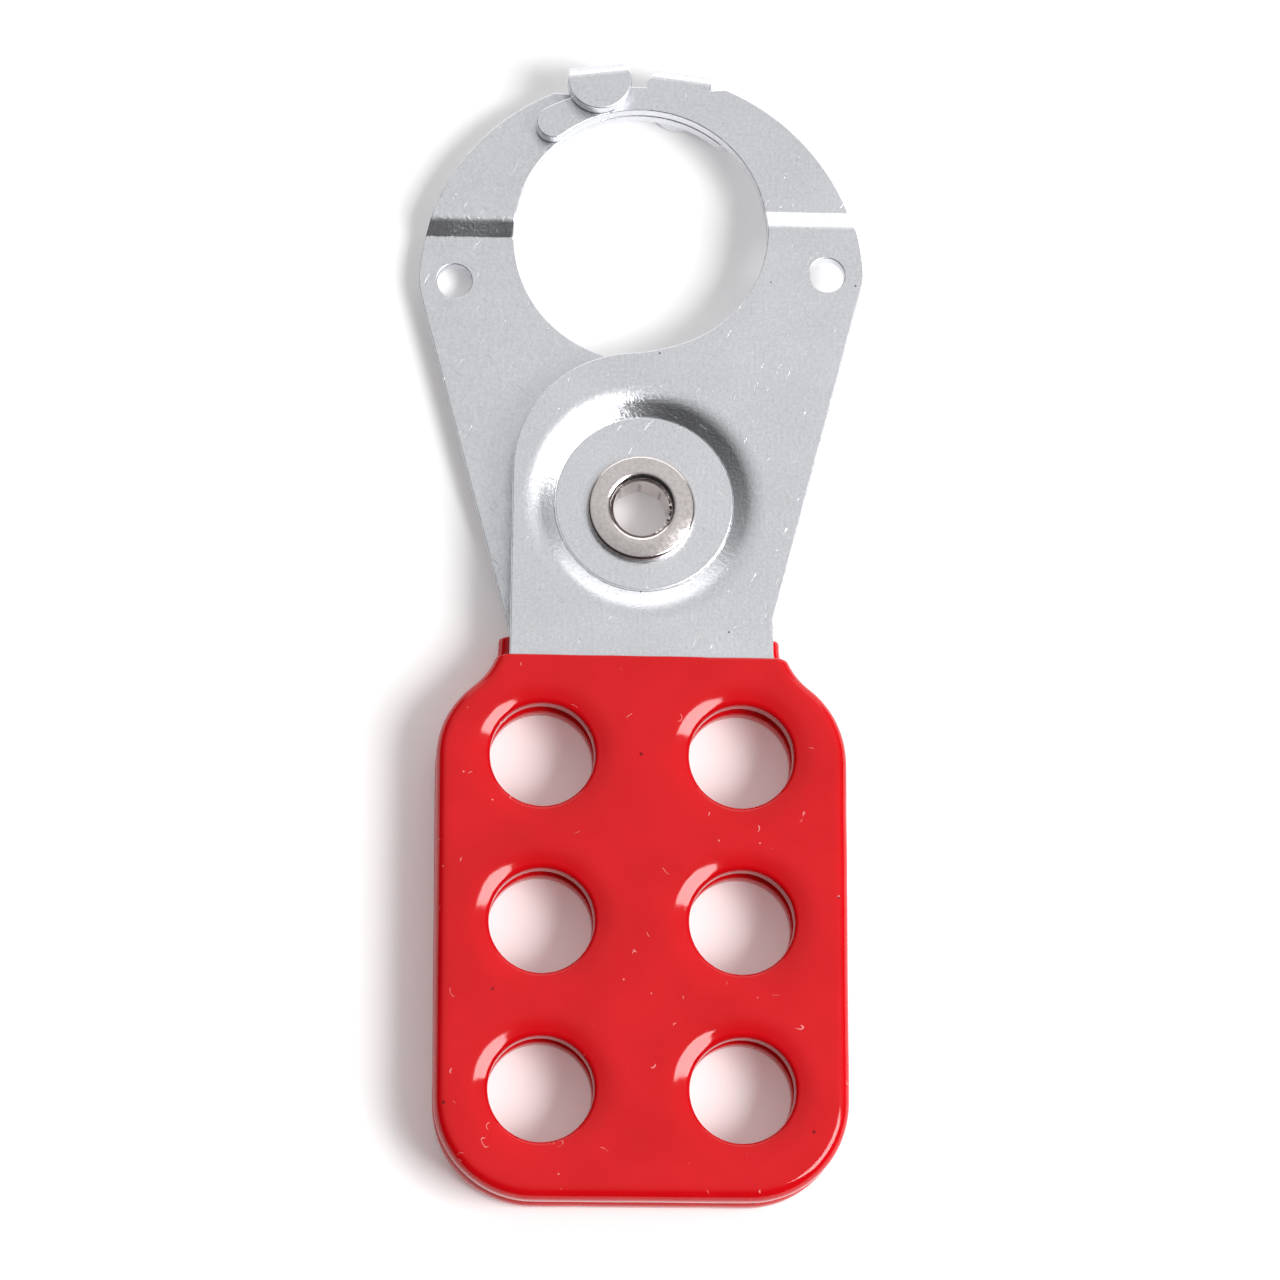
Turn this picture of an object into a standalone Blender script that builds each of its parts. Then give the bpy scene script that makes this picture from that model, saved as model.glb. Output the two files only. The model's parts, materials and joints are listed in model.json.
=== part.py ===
"""Lockout hasp: two stamped steel arms on one eyelet, each with a dipped vinyl grip.

Metres, +Z up. The hasp lies flat and closed: jaws towards +Y, handles towards -Y. The origin
is at the bottom centre of the whole object. Both arms are one stamping. The back arm is the
front arm turned half a turn about its length, so their hooks lock over each other's tongues.
Heights in the arm's own frame are counted from the plane between the two arms.
"""

import math

import bmesh
import bpy
from mathutils import Matrix

# Steel sheet
SHEET = 0.0016              # thickness of the plates
JAW_GAP = 0.0003            # air between the two jaws, which slide on each other
STEP = 0.0012               # how far jaw and boss are pressed in from the neck
STEP_ANGLE = 33             # slope of the joggle, degrees

# Jaw
BORE_R = 0.0127             # inside of the closed jaws: the 1 inch size
BORE_LOW_Y = 0.0163         # its lowest point above the pivot
BORE_LEAVES = -66           # the outline leaves the bore's circle here, degrees
CROSSING = [(0.0024, -0.0002), (-0.0012, -0.0006)]      # from the bore's lowest point
JAW_DROP = 0.0055           # the jaw's circle is centred this far below the bore's
TONGUE_DEPTH = 0.0025       # the tongue beyond the bore's top
TONGUE_STEP = 0.0016        # the jaw stands this much outside the tongue
TONGUE_END = 38             # where its round end sits on the bore, degrees left of top
JOGGLE_ABOVE = 0.0022       # foot of the joggle on the outer face, above the bore's centre
SIDE_START_Y = -0.011568    # the long side leaves the neck here
SIDE_INSET = 0.0008         # and runs inside the jaw circle's tangent
SIDE_FILLET = 0.0070        # where the long side runs into the jaw circle
TAG_HOLE_R = 0.00175
TAG_HOLE_EDGE = 0.00365     # its centre, in from the jaw circle's side
TAG_HOLE_RISE = 0.0008      # and above the jaw circle's centre

# Hook
HOOK_LEFT = 0.0014          # the hook's two sides
HOOK_RIGHT = 0.0076
HOOK_SLACK = 0.0004         # air between the hook and the tongue's outer edge
HOOK_LEAN = -7.1            # the hook's face follows the jaw, degrees
HOOK_REACH = 0.0050         # from the outer face to the end of the flap
HOOK_CLEAR = 0.00025        # air between the flap and the tongue under it
HOOK_BEND_R = 0.0005        # inside radius of its two bends
HOOK_ROOT = 0.0040          # how far its strip runs back into the jaw
HOOK_TUCK = 0.00002         # and how far below the jaw's faces it lies there
HOOK_LAP = 0.0004           # the jaw's outline steps in this far under the hook

# Neck
NECK_HALF = 0.0130          # half width where the grip starts
SHOULDER_INSET = 0.00085    # the round shoulder's radius is this much less
SHOULDER_SIDE = 0.0002      # and its side stands this far inside the neck's
SHOULDER_Y = 0.00365
SHOULDER_SPAN = (106, 178)  # degrees
BOSS = (0.0003, 0.0006)     # the boss is struck slightly off the rivet hole
BOSS_FLOOR = 0.00355        # flat floor round the eyelet's flange
BOSS_SLOPE = 0.0022         # width of the boss's sloping wall
BOSS_LAP = 0.0002           # the dish's underside runs this far up into the neck

# Handle
HANDLE_HALF = 0.0192
CORNER_R = 0.0088
HAUNCH_TOP_Y = -0.014409    # the haunch leaves the neck here
HAUNCH_R = 0.0082           # convex curve from neck to handle
HAUNCH_HOLLOW_R = 0.0050    # concave curve above it
LOCK_HOLE_R = 0.0060
LOCK_EDGE = 0.00942         # padlock holes: their centres, in from the handle's side
LOCK_RISE = 0.0004          # the top pair, above the haunch's centre
LOCK_PITCH = 0.0165
LOCK_ROWS = 3
LOCK_END = 0.0098           # from the last pair down to the end of the steel

# Vinyl grip
COAT = 0.0010               # thickness over the steel
COAT_GAP = 0.0003           # air kept between steel and vinyl
COAT_ROUND = 0.0014         # rounding of every rim
COAT_HOLLOW_R = 0.0065      # the dip fills the concave curve of the haunch
LOCK_LINING = 0.0009        # thickness inside a padlock hole
FRONT_DIP_Y = -0.0153       # how high each handle went into the vinyl
BACK_DIP_Y = -0.0125

# Eyelet
BARREL_R = 0.0039
BARREL_WALL = 0.0007
BARREL_CLEAR = 0.0003       # air round it in the plates' rivet holes
FLANGE_REACH = 0.0015       # the flange beyond the barrel
FLANGE_HEIGHT = 0.0010
FLANGE_SEAT = 0.00025       # air between flange and boss

# Worked out: jaw and hook
BORE_Y = BORE_LOW_Y + BORE_R
JAW_Y = BORE_Y - JAW_DROP
TONGUE_R = BORE_R + JAW_DROP + TONGUE_DEPTH
JAW_R = TONGUE_R + TONGUE_STEP
JOGGLE_Y = BORE_Y + JOGGLE_ABOVE
TAG_HOLE = (JAW_R - TAG_HOLE_EDGE, JAW_Y + TAG_HOLE_RISE)
HOOK_FACE_Y = JAW_Y + TONGUE_R + HOOK_SLACK + SHEET
HOOK_MID = (HOOK_LEFT + HOOK_RIGHT) / 2
HOOK_TOP_Y = HOOK_FACE_Y + (HOOK_MID - HOOK_LEFT) * math.sin(math.radians(-HOOK_LEAN))

# Worked out: neck and eyelet
SHOULDER_R = NECK_HALF - SHOULDER_INSET
SHOULDER = (SHOULDER_R + SHOULDER_SIDE - NECK_HALF, SHOULDER_Y)
RIVET_HOLE_R = BARREL_R + BARREL_CLEAR
BARREL_BORE_R = BARREL_R - BARREL_WALL
FLANGE_R = BARREL_R + FLANGE_REACH
BOSS_FLOOR_R = FLANGE_R + BOSS_FLOOR

# Worked out: handle
HAUNCH_X = HANDLE_HALF - HAUNCH_R
HAUNCH_RISE = math.sqrt(
    (HAUNCH_R + HAUNCH_HOLLOW_R) ** 2 - (NECK_HALF + HAUNCH_HOLLOW_R - HAUNCH_X) ** 2
)
HAUNCH = (HAUNCH_X, HAUNCH_TOP_Y - HAUNCH_RISE)
LOCK_COLUMN = HANDLE_HALF - LOCK_EDGE
LOCK_TOP_Y = HAUNCH[1] + LOCK_RISE
LOCK_HOLES = [
    (side * LOCK_COLUMN, LOCK_TOP_Y - row * LOCK_PITCH)
    for side in (-1, 1)
    for row in range(LOCK_ROWS)
]
LOCK_APERTURE_R = LOCK_HOLE_R - LOCK_LINING
HANDLE_LENGTH = (LOCK_ROWS - 1) * LOCK_PITCH + LOCK_END - LOCK_TOP_Y

# Worked out: heights, and the pivot that centres the hasp over the origin
JAW_LOW = JAW_GAP / 2
JAW_TOP = JAW_LOW + SHEET
NECK_LOW = JAW_LOW + STEP
NECK_TOP = NECK_LOW + SHEET
COAT_TOP = NECK_TOP + COAT
PIVOT_Y = (HANDLE_LENGTH + COAT - HOOK_TOP_Y) / 2

CURVE_STEP = 6              # degrees between points on large arcs
LOCK_SIDES = 24
SMALL_SIDES = 20
TURNED_SIDES = 36
BEYOND = 0.004              # how far cutters run past what they cut
WELD_DISTANCE = 0.000001
SIDEWAYS = Matrix(((0, 0, 1, 0), (1, 0, 0, 0), (0, 1, 0, 0), (0, 0, 0, 1)))

parts = bpy.data.collections.new("lockout_hasp")
cutters = bpy.data.collections.new("cutters")


def arc(centre, radius, start, end, step=CURVE_STEP):
    """Points on a circle from one angle to another, in degrees, both ends included."""
    count = max(2, math.ceil(abs(end - start) / step))
    angles = [math.radians(start + (end - start) * i / count) for i in range(count + 1)]
    return [(centre[0] + radius * math.cos(a), centre[1] + radius * math.sin(a)) for a in angles]


def ring(centre, radius, sides):
    """Points of a whole circle, without repeating the first."""
    return arc(centre, radius, 0, 360, 360 / sides)[:-1]


def mirrored(points):
    """The same stretch on the other side of the Y axis, in reverse order."""
    return [(-x, y) for x, y in reversed(points)]


def handle_side(grow, hollow_r):
    """Right side of the handle, from the bottom corner up over the haunch to the neck."""
    corner = (HANDLE_HALF - CORNER_R, CORNER_R - HANDLE_LENGTH)
    round_r = HAUNCH_R + grow
    across = NECK_HALF + grow + hollow_r - HAUNCH[0]
    up = math.sqrt((round_r + hollow_r) ** 2 - across**2)
    meet = math.degrees(math.atan2(up, across))
    hollow = (HAUNCH[0] + across, HAUNCH[1] + up)
    return (
        arc(corner, CORNER_R + grow, -90, 0)
        + arc(HAUNCH, round_r, 0, meet)
        + arc(hollow, hollow_r, 180 + meet, 180)[1:]
    )


def long_side():
    """Up the slanted right side from the neck, and round the jaw as far as the hook."""
    line_r = JAW_R - SIDE_INSET
    drop = JAW_Y - SIDE_START_Y
    tilt = math.asin(line_r / math.hypot(NECK_HALF, drop)) - math.atan2(NECK_HALF, drop)
    inner_r = JAW_R - SIDE_FILLET
    turn = math.degrees(math.acos((line_r - SIDE_FILLET) / inner_r) - tilt)
    fillet = arc((0, JAW_Y), inner_r, turn, turn)[0]
    return (
        [(NECK_HALF, SIDE_START_Y)]
        + arc(fillet, SIDE_FILLET, -math.degrees(tilt), turn)
        + arc((0, JAW_Y), JAW_R, turn, hook_corner_angle(JAW_R))[1:]
    )


def hook_corner_angle(radius):
    """Where a circle about the jaw's centre passes just inside the hook's right side."""
    return math.degrees(math.acos((HOOK_RIGHT - HOOK_LAP) / radius))


def tongue():
    """Under the hook, along the tongue and round its end to the bore."""
    lean = math.radians(TONGUE_END)
    across = JAW_DROP * math.cos(lean)
    spare = TONGUE_R**2 - JAW_DROP**2 - BORE_R**2 - 2 * across * BORE_R
    end_r = spare / (2 * (across + BORE_R + TONGUE_R))
    end = arc((0, BORE_Y), BORE_R + end_r, 90 + TONGUE_END, 90 + TONGUE_END)[0]
    outward = math.degrees(math.atan2(end[1] - JAW_Y, end[0]))
    return (
        arc((0, JAW_Y), TONGUE_R, hook_corner_angle(TONGUE_R), outward)
        + arc(end, end_r, outward, 270 + TONGUE_END, 20)[1:-1]
    )


def plate_outline():
    """The whole stamping seen from above, counter-clockwise from the bottom right corner."""
    right = handle_side(0, HAUNCH_HOLLOW_R)
    bore = arc((0, BORE_Y), BORE_R, 90 + TONGUE_END, BORE_LEAVES)
    crossing = [(x, BORE_LOW_Y + y) for x, y in CROSSING]
    shoulder = arc(SHOULDER, SHOULDER_R, *SHOULDER_SPAN)
    return right + long_side() + tongue() + bore + crossing + shoulder + mirrored(right)


def flat_curve(name, outlines, half_height, rounding=0.0):
    """A filled 2D curve extruded both ways. Every outline after the first is a hole."""
    curve = bpy.data.curves.new(name, "CURVE")
    curve.dimensions = "2D"
    curve.fill_mode = "BOTH"
    curve.extrude = half_height - rounding
    curve.bevel_depth = rounding
    curve.bevel_resolution = 1
    curve.offset = -rounding
    for points in outlines:
        spline = curve.splines.new("POLY")
        spline.points.add(len(points) - 1)
        for spot, (x, y) in zip(spline.points, points):
            spot.co = (x, y, 0, 1)
        spline.use_cyclic_u = True
    return bpy.data.objects.new(name, curve)


def solid_from(shape, name, place):
    """Makes the curve a closed mesh object, set at a place in its arm's frame."""
    bpy.context.scene.collection.objects.link(shape)
    bpy.context.view_layer.update()
    graph = bpy.context.evaluated_depsgraph_get()
    mesh = bpy.data.meshes.new_from_object(shape.evaluated_get(graph))
    bpy.data.curves.remove(shape.data)
    weld(mesh)
    mesh.transform(place)
    return bpy.data.objects.new(name, mesh)


def weld(mesh):
    """Joins the caps of a curve's mesh to its sides and points all faces outwards."""
    work = bmesh.new()
    work.from_mesh(mesh)
    bmesh.ops.remove_doubles(work, verts=work.verts, dist=WELD_DISTANCE)
    bmesh.ops.recalc_face_normals(work, faces=work.faces)
    work.to_mesh(mesh)
    work.free()


def prism(name, outlines, low, high, rounding=0.0):
    """An upright solid between two heights."""
    shape = flat_curve(name, outlines, (high - low) / 2, rounding)
    return solid_from(shape, name, Matrix.Translation((0, 0, (low + high) / 2)))


def frustum(name, centre, low, low_r, high, high_r):
    """A round solid between two heights, with its own radius at each."""
    work = bmesh.new()
    middle = Matrix.Translation((centre[0], centre[1], (low + high) / 2))
    bmesh.ops.create_cone(
        work,
        cap_ends=True,
        segments=TURNED_SIDES,
        radius1=low_r,
        radius2=high_r,
        depth=high - low,
        matrix=middle,
    )
    mesh = bpy.data.meshes.new(name)
    work.to_mesh(mesh)
    work.free()
    return bpy.data.objects.new(name, mesh)


def bent_sheet():
    """The sheet seen from the side, with its joggle, as wide as any plate cut from it."""
    slope = math.radians(STEP_ANGLE)
    run = STEP / math.tan(slope)
    under = SHEET * math.tan(slope / 2)
    near = -HANDLE_LENGTH - BEYOND
    far = JAW_Y + JAW_R + BEYOND
    profile = [
        (near, NECK_TOP),
        (JOGGLE_Y - run, NECK_TOP),
        (JOGGLE_Y, JAW_TOP),
        (far, JAW_TOP),
        (far, JAW_LOW),
        (JOGGLE_Y - under, JAW_LOW),
        (JOGGLE_Y - run - under, NECK_LOW),
        (near, NECK_LOW),
    ]
    shape = flat_curve("bent_sheet", [profile], JAW_R + BEYOND)
    return solid_from(shape, "bent_sheet", SIDEWAYS)


def hook():
    """The hook: out from the jaw, down past the other arm's tongue and back under it."""
    bend = SHEET + HOOK_BEND_R
    top = JAW_TOP - HOOK_TUCK
    flap_top = -JAW_TOP - HOOK_CLEAR
    flap_low = flap_top - SHEET
    upper = (-bend, top - bend)
    lower = (-bend, flap_low + bend)
    profile = (
        [(-HOOK_ROOT, top)]
        + arc(upper, bend, 90, 0, 30)
        + arc(lower, bend, 0, -90, 30)
        + [(-HOOK_REACH - BEYOND, flap_low), (-HOOK_REACH - BEYOND, flap_top)]
        + arc(lower, HOOK_BEND_R, -90, 0, 45)
        + arc(upper, HOOK_BEND_R, 0, 90, 45)
        + [(-HOOK_ROOT, JAW_LOW + HOOK_TUCK)]
    )
    half_width = (HOOK_RIGHT - HOOK_LEFT) / 2
    place = Matrix.Translation((HOOK_MID, HOOK_FACE_Y, 0))
    place = place @ Matrix.Rotation(math.radians(HOOK_LEAN), 4, "Z")
    strip = solid_from(flat_curve("hook", [profile], half_width + BEYOND), "hook", place @ SIDEWAYS)
    end = arc((0, half_width - HOOK_REACH), half_width, 180, 360, 15)
    outline = end + [(half_width, BEYOND), (-half_width, BEYOND)]
    trim = prism("hook_trim", [outline], flap_low - BEYOND, JAW_TOP + BEYOND)
    trim.data.transform(place)
    return strip, trim


def turned(name, profile):
    """A turned solid from a closed profile of radius and height, listed down its outside."""
    mesh = bpy.data.meshes.new(name)
    links = [(i, (i + 1) % len(profile)) for i in range(len(profile))]
    mesh.from_pydata([(r, 0, z) for r, z in profile], links, [])
    screw = bpy.data.objects.new(name, mesh)
    spin = screw.modifiers.new("turn", "SCREW")
    spin.steps = TURNED_SIDES
    spin.render_steps = TURNED_SIDES
    spin.use_merge_vertices = True
    spin.merge_threshold = WELD_DISTANCE
    return screw


def principled(name, colour, metallic, roughness):
    """A plain material with one colour and finish."""
    material = bpy.data.materials.new(name)
    material.use_nodes = True
    shader = material.node_tree.nodes["Principled BSDF"]
    shader.inputs["Base Color"].default_value = (*colour, 1)
    shader.inputs["Metallic"].default_value = metallic
    shader.inputs["Roughness"].default_value = roughness
    return material


def add_part(piece, arm, material):
    """Puts a finished piece in the hasp, with its origin on the pivot axis."""
    parts.objects.link(piece)
    piece.parent = arm
    piece.data.materials.clear()
    piece.data.materials.append(material)
    piece.data.shade_smooth()
    piece.data.set_sharp_from_angle(angle=math.radians(30))
    return piece


def combine(target, tool, operation):
    """A live Boolean whose tool stays beside the piece as a hidden wire shape."""
    cutters.objects.link(tool)
    tool.parent = target.parent
    tool.hide_render = True
    tool.display_type = "WIRE"
    step = target.modifiers.new(tool.name, "BOOLEAN")
    step.operation = operation
    step.object = tool
    step.solver = "EXACT"


def build_plate(arm, material):
    """The front arm's stamping."""
    holes = [ring(spot, LOCK_HOLE_R, LOCK_SIDES) for spot in LOCK_HOLES]
    tag_hole = ring(TAG_HOLE, TAG_HOLE_R, SMALL_SIDES)
    outlines = [plate_outline(), tag_hole] + holes
    plate = prism("front_plate", outlines, JAW_LOW - BEYOND, NECK_TOP + BEYOND)
    add_part(plate, arm, material)
    combine(plate, bent_sheet(), "INTERSECT")

    slant = BOSS_SLOPE / STEP
    under = SHEET * math.tan(math.atan2(STEP, BOSS_SLOPE) / 2)
    low_r = BOSS_FLOOR_R + under
    lap = BOSS_LAP * slant
    dish = frustum("boss_dish", BOSS, JAW_LOW, low_r, NECK_LOW + BOSS_LAP, low_r + BOSS_SLOPE + lap)
    combine(plate, dish, "UNION")
    high = NECK_TOP + BEYOND
    high_r = BOSS_FLOOR_R + (high - JAW_TOP) * slant
    combine(plate, frustum("boss_hollow", BOSS, JAW_TOP, BOSS_FLOOR_R, high, high_r), "DIFFERENCE")
    rivet_hole = frustum("rivet_hole", (0, 0), -BEYOND, RIVET_HOLE_R, BEYOND, RIVET_HOLE_R)
    combine(plate, rivet_hole, "DIFFERENCE")

    strip, trim = hook()
    combine(plate, strip, "UNION")
    combine(strip, trim, "INTERSECT")
    return plate


def copy_turned_over(plate, name, arm, material):
    """The back arm's plate: the same stamping, as its modifiers leave it."""
    bpy.context.view_layer.update()
    graph = bpy.context.evaluated_depsgraph_get()
    mesh = bpy.data.meshes.new_from_object(plate.evaluated_get(graph))
    mesh.name = name
    return add_part(bpy.data.objects.new(name, mesh), arm, material)


def build_grip(name, arm, dip_y, material):
    """A dipped grip: rounded all over, hollow for the steel, open where the neck leaves it."""
    top_y = dip_y + BEYOND
    side = handle_side(COAT, COAT_HOLLOW_R) + [(NECK_HALF + COAT, top_y)]
    apertures = [ring(spot, LOCK_APERTURE_R, LOCK_SIDES) for spot in LOCK_HOLES]
    outlines = [side + mirrored(side)] + apertures
    grip = prism(name, outlines, NECK_LOW - COAT, COAT_TOP, COAT_ROUND)
    add_part(grip, arm, material)

    inner = handle_side(COAT_GAP, HAUNCH_HOLLOW_R - COAT_GAP) + [(NECK_HALF + COAT_GAP, top_y)]
    posts = [ring(spot, LOCK_HOLE_R - COAT_GAP, LOCK_SIDES) for spot in LOCK_HOLES]
    low = NECK_LOW - COAT_GAP
    high = NECK_TOP + COAT_GAP
    combine(grip, prism(name + "_hollow", [inner + mirrored(inner)] + posts, low, high), "DIFFERENCE")

    wide = HANDLE_HALF + BEYOND
    above = [(-wide, dip_y), (wide, dip_y), (wide, top_y + BEYOND), (-wide, top_y + BEYOND)]
    dip_line = prism(name + "_dip_line", [above], low - BEYOND, high + BEYOND)
    combine(grip, dip_line, "DIFFERENCE")
    return grip


def build_eyelet(arm, material):
    """The tubular rivet: a barrel with a rolled flange on each boss."""
    seat = JAW_TOP + FLANGE_SEAT
    crown = (BARREL_BORE_R + FLANGE_R) / 2
    spread = FLANGE_R - crown
    roll = [(crown + x * spread, seat + y * FLANGE_HEIGHT) for x, y in arc((0, 0), 1, 180, 0, 30)]
    upper = roll + [(BARREL_R, seat)]
    lower = [(r, -z) for r, z in reversed(upper)]
    eyelet = turned("pivot_eyelet", upper + lower)
    return add_part(eyelet, arm, material)


def empty(name, place, parent=None):
    """A marker that carries what is parented to it."""
    marker = bpy.data.objects.new(name, None)
    parts.objects.link(marker)
    marker.parent = parent
    marker.matrix_local = place
    return marker


def main():
    """Builds the hasp: the back arm holds the eyelet and the front arm turns on it."""
    for old in list(bpy.data.objects):
        bpy.data.objects.remove(old)
    bpy.context.scene.collection.children.link(parts)
    bpy.context.scene.collection.children.link(cutters)

    zinc = principled("zinc_plated_steel", (0.60, 0.61, 0.63), 1.0, 0.35)
    vinyl = principled("red_vinyl", (0.76, 0.012, 0.016), 0.0, 0.18)
    nickel = principled("nickel_plate", (0.66, 0.62, 0.58), 1.0, 0.2)

    pivot = empty("pivot", Matrix.Translation((0, PIVOT_Y, COAT_TOP)))
    front_arm = empty("front_arm", Matrix.Identity(4), pivot)
    back_arm = empty("back_arm", Matrix.Rotation(math.pi, 4, "Y"), pivot)

    front_plate = build_plate(front_arm, zinc)
    copy_turned_over(front_plate, "back_plate", back_arm, zinc)
    build_grip("front_grip", front_arm, FRONT_DIP_Y, vinyl)
    build_grip("back_grip", back_arm, BACK_DIP_Y, vinyl)
    build_eyelet(back_arm, nickel)


main()
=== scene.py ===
"""The finished look of a lockout hasp: two stamped plates, two dipped grips and an eyelet.

Metres. Every piece is modelled in its arm's own frame: the pivot at x 0 and y 0, the jaw towards
+Y, and heights counted from the plane between the two arms. The front arm faces up. The back arm
is the same stamping turned over.
"""

import json
import math

import bmesh
import bpy
from mathutils import Matrix, Vector, noise


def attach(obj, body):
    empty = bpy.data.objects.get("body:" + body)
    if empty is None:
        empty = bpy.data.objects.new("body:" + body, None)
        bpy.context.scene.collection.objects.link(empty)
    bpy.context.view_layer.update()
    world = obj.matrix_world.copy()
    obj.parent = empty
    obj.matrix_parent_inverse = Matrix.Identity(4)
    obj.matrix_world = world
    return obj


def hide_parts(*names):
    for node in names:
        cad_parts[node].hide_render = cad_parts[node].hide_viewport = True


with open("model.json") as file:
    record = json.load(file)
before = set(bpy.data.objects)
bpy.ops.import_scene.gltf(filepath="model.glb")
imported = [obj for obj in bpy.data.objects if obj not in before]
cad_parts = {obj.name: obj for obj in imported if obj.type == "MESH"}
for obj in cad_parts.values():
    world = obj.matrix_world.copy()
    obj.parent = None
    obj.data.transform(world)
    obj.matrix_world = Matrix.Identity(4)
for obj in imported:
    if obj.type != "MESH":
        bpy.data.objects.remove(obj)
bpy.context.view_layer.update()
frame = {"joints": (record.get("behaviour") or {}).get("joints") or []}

# Steel sheet
SHEET = 0.0016
JAW_GAP = 0.0003
STEP = 0.0012
STEP_ANGLE = 33
BEND_R = 0.0021             # outside of the joggle's soft upper bend
FOOT_R = 0.0003             # inside of its sharp lower bend
EDGE_BREAK = 0.00014        # the blanked edges are slightly rounded

# Jaw
BORE_R = 0.0127
BORE_LOW_Y = 0.0163
BORE_LEAVES = -66
CROSSING_TURN = -86         # between bore and shoulder the outline runs in an S, turning here
JAW_DROP = 0.0055
TONGUE_DEPTH = 0.0025
TONGUE_STEP = 0.0016
TONGUE_END = 38
JOGGLE_ABOVE = 0.0022
SIDE_START_Y = -0.011568
SIDE_INSET = 0.0008
SIDE_FILLET = 0.0070
TAG_HOLE_R = 0.00175
TAG_HOLE_EDGE = 0.00365
TAG_HOLE_RISE = 0.0008

# Hook
HOOK_LEFT = 0.0014
HOOK_RIGHT = 0.0076
HOOK_SLACK = 0.0004
HOOK_LEAN = -7.1
HOOK_REACH = 0.0050
HOOK_CLEAR = 0.00025
HOOK_BEND_R = 0.00015
HOOK_ROOT = 0.0032
HOOK_LAP = 0.0010
FLAP_TOP_HALF = 0.00285     # half width of the flap at its upper bend
FLAP_HALF = 0.00325         # and where its round end starts
TAB_SPREAD = 0.0008         # the strip grows this much wider as it runs into the jaw
EASE = 0.0010               # beside it the jaw's edge eases down from its circle over this width
EASE_DEPTH = 0.0023         # to this far below the hook's face

# Neck
NECK_HALF = 0.0130
SHOULDER_INSET = 0.00085
SHOULDER_SIDE = 0.0002
SHOULDER_Y = 0.00365
SHOULDER_SPAN = (106, 178)
BOSS = (0.0003, 0.0006)
BOSS_FLOOR = 0.00355
BOSS_SLOPE = 0.0022
BOSS_RIM_R = 0.01245        # the disc that carries the boss is let in to this radius
BOSS_BEND_R = 0.0042        # outside of its soft outer bend
BOSS_FOOT_R = 0.0001
CREASE = 0.00007            # depth of the crease that the punch's edge leaves round the floor

# Handle
HANDLE_HALF = 0.0192
CORNER_R = 0.0088
HAUNCH_TOP_Y = -0.014409
HAUNCH_R = 0.0082
HAUNCH_HOLLOW_R = 0.0050
LOCK_HOLE_R = 0.0060
LOCK_EDGE = 0.00942
LOCK_RISE = 0.0004
LOCK_PITCH = 0.0165
LOCK_ROWS = 3
LOCK_END = 0.0098

# Vinyl grip
COAT = 0.0010
COAT_HOLLOW_R = 0.0065
LOCK_LINING = 0.0009
FRONT_DIP_Y = -0.0153
BACK_DIP_Y = -0.0125
EDGE_ROUND = 0.0013         # rounding of the outer rims
LIP_R = 0.00055             # tight rounding at a padlock hole's lip
SINK = 0.00050              # the coat draws down this far towards each hole
SINK_WIDTH = 0.0024         # over this width
VINYL_CELL = 0.00024        # mesh size of the dipped surface
VINYL_FIT = 0.00002         # air between vinyl and steel
RIPPLE = 0.00003            # height of its waviness
RIPPLE_LONG = 260           # its long and short waves, as noise scales
RIPPLE_SHORT = 900
RIPPLE_SHORT_SHARE = 0.1

# Eyelet
BARREL_R = 0.0039
BARREL_CLEAR = 0.0003
FLANGE_REACH = 0.0015
FLANGE_HEIGHT = 0.0010
FLANGE_SEAT = 0.00025
FLANGE_DOWN = 0.00023       # the rolled rim all but touches the boss
CROWN_R = 0.0037            # the flange is highest here
CROWN_ROUND = 0.0006        # and falls away over this radius
RIM_ROUND = 0.00050
THROAT_R = 0.00302          # lip of the rolled end, inside the barrel
THROAT_DROP = 0.00034       # from the crown down to the bore's lip
THROAT_STEP = 0.0005        # and on down to the liner, the barrel's thinned inner wall
LINER_R = 0.00280
LINER_TORN = (-62, 22)      # the liner's lip is torn between these angles, degrees
LINER_TEAR = 0.00024        # and about this far back
TEAR_FADE = 0.4             # how abruptly the torn stretch begins and ends
TEAR_COARSE = 5             # the tear's large and small teeth, as noise scales
TEAR_FINE = 14
TEAR_FINE_SHARE = 0.7
TEAR_BIAS = 0.35            # most of it stands up
TEAR_CURL = 1.3             # by this much more than it opens the bore
TEAR_SPAN = (-0.6, 1.0)     # limits of its opening and closing
PETALS = 8                  # the clinched end is split this often
PETAL_FIT = 1.03            # their flat-sided opening reaches a little outside the round liner
SPLIT_HALF = 0.00009        # half width of a split at its root
SPLIT_FLARE = 0.00102       # and where its wedge ends, well past the petals

# Worked out
BORE_Y = BORE_LOW_Y + BORE_R
JAW_Y = BORE_Y - JAW_DROP
TONGUE_R = BORE_R + JAW_DROP + TONGUE_DEPTH
JAW_R = TONGUE_R + TONGUE_STEP
JOGGLE_Y = BORE_Y + JOGGLE_ABOVE
TAG_HOLE = (JAW_R - TAG_HOLE_EDGE, JAW_Y + TAG_HOLE_RISE)
HOOK_FACE_Y = JAW_Y + TONGUE_R + HOOK_SLACK + SHEET
HOOK_MID = (HOOK_LEFT + HOOK_RIGHT) / 2
SHOULDER_R = NECK_HALF - SHOULDER_INSET
SHOULDER = (SHOULDER_R + SHOULDER_SIDE - NECK_HALF, SHOULDER_Y)
RIVET_HOLE_R = BARREL_R + BARREL_CLEAR
FLANGE_R = BARREL_R + FLANGE_REACH
BOSS_FLOOR_R = FLANGE_R + BOSS_FLOOR
HAUNCH_X = HANDLE_HALF - HAUNCH_R
HAUNCH_RISE = math.sqrt(
    (HAUNCH_R + HAUNCH_HOLLOW_R) ** 2 - (NECK_HALF + HAUNCH_HOLLOW_R - HAUNCH_X) ** 2
)
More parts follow.
